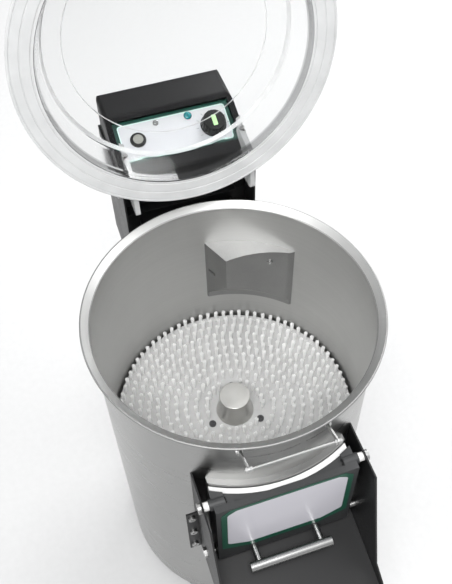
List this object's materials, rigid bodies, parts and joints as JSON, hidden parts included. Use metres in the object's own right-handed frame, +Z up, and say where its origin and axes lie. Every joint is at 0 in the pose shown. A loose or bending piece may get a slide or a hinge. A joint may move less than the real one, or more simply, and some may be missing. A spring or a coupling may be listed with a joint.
{
  "type": "mussel cleaning machine",
  "caption": "Bench drum machine with a turning bristle plate, clear hinged lid, rear control box and front discharge door with chute cheeks.",
  "frame": {"origin": "point on the drum axis at floor level, under the feet", "axes": "+Z up along the drum axis, -Y towards the discharge door at the front, +X to the right seen from the front"},
  "size_m": [0.35, 0.583, 0.932],
  "materials": {
    "stainless_sheet": "brushed stainless sheet, satin",
    "foot_rubber": "matt black rubber",
    "zinc_steel": "bright zinc-plated steel",
    "grey_casting": "machined grey iron",
    "bearing_steel": "ground steel",
    "seal_rubber": "black rubber",
    "satin_aluminium": "satin machined aluminium",
    "white_plastic": "white nylon",
    "black_screws": "blackened steel",
    "motor_paint": "dark grey enamel",
    "capacitor_plastic": "light grey plastic can",
    "brass_pipe": "plain brass",
    "black_sheet": "satin black powder coat",
    "door_grey": "dark grey casting",
    "door_label": "white film with a dark green edge",
    "bright_steel": "bright steel",
    "clear_lid": "clear polycarbonate",
    "black_plastic": "finely textured black moulding",
    "panel_label": "pale film with a dark green edge",
    "pointer_green": "light green insert",
    "button_silver": "turned metal",
    "lamp_clear": "clear lens",
    "lamp_teal": "teal lens"
  },
  "bodies": {
    "machine": {"drum_shell": "stainless_sheet", "tank_floor": "stainless_sheet", "base_plate": "stainless_sheet", "rubber_feet": "foot_rubber", "foot_bolts": "zinc_steel", "bearing_housing": "grey_casting", "shaft_bearings": "bearing_steel", "shaft_seal": "seal_rubber", "drive_belt": "seal_rubber", "motor_body": "motor_paint", "motor_plate": "stainless_sheet", "drive_fixings": "zinc_steel", "run_capacitor": "capacitor_plastic", "wall_deflector": "satin_aluminium", "water_inlet_pipe": "brass_pipe", "drain_pipe": "stainless_sheet", "opening_frame": "stainless_sheet", "chute_cheeks": "black_sheet", "chute_floor": "black_sheet", "body_screws": "zinc_steel", "door_bushes": "white_plastic", "door_pivots": "zinc_steel", "catch_plungers": "zinc_steel", "bail_lugs": "stainless_sheet", "hinge_pins": "zinc_steel", "hinge_bushes": "white_plastic", "lid_stop_pads": "foot_rubber", "lid_sensor": "black_plastic", "rear_housing": "black_sheet", "housing_rear_cover": "black_sheet", "cable_duct": "black_sheet", "cable_gland": "black_plastic", "control_box_shell": "black_plastic", "control_panel": "panel_label", "timer_body": "black_plastic", "button_bezel": "black_plastic", "lamp_clear": "lamp_clear", "lamp_teal": "lamp_teal"},
    "brush": {"drive_shaft": "bearing_steel", "brush_carrier": "satin_aluminium", "brush_plate": "white_plastic", "brush_tufts": "white_plastic", "hub_knob": "satin_aluminium", "plate_screws": "black_screws", "driven_pulley": "grey_casting"},
    "motor_rotor": {"motor_pulley": "grey_casting"},
    "door": {"door_body": "door_grey", "door_seal": "white_plastic", "door_label": "door_label", "door_pull": "bright_steel"},
    "bail": {"bail_arms": "bright_steel", "bail_rod": "bright_steel", "bail_nuts": "bright_steel"},
    "lid": {"lid_dome": "clear_lid", "lid_arms": "clear_lid", "lid_screws": "zinc_steel", "lid_front_catch": "black_plastic"},
    "knob": {"timer_knob": "black_plastic", "knob_pointer": "pointer_green"},
    "button": {"push_button": "button_silver"}
  },
  "joints": [
    {"name": "brush_spin", "type": "hinge", "parent": "machine", "child": "brush", "pos_m": [0, 0, 0.285], "axis": [0, 0, 1], "continuous": true},
    {"name": "motor_spin", "type": "hinge", "parent": "machine", "child": "motor_rotor", "pos_m": [0.098, 0, 0.095], "axis": [0, 0, 1], "continuous": true},
    {"name": "door_hinge", "type": "hinge", "parent": "machine", "child": "door", "pos_m": [0, -0.1743, 0.423], "axis": [-1, 0, 0], "range_deg": [0, 90]},
    {"name": "bail_pivot", "type": "hinge", "parent": "machine", "child": "bail", "pos_m": [0, -0.1625, 0.5074], "axis": [-1, 0, 0], "range_deg": [-104, 25]},
    {"name": "lid_hinge", "type": "hinge", "parent": "machine", "child": "lid", "pos_m": [0, 0.176, 0.5687], "axis": [1, 0, 0], "range_deg": [0, 100]},
    {"name": "timer_turn", "type": "hinge", "parent": "machine", "child": "knob", "pos_m": [0.047, 0.21061, 0.60763], "axis": [0, 0.3843, -0.9232], "range_deg": [0, 300]},
    {"name": "button_press", "type": "slide", "parent": "machine", "child": "button", "axis": [0, 0.3843, -0.9232], "range_m": [0, 0.0015], "stiffness_N_per_m": 600, "springref_m": -0.001}
  ],
  "couplings": [
    {"joint": "motor_spin", "follows": "brush_spin", "ratio": 3.876}
  ]
}
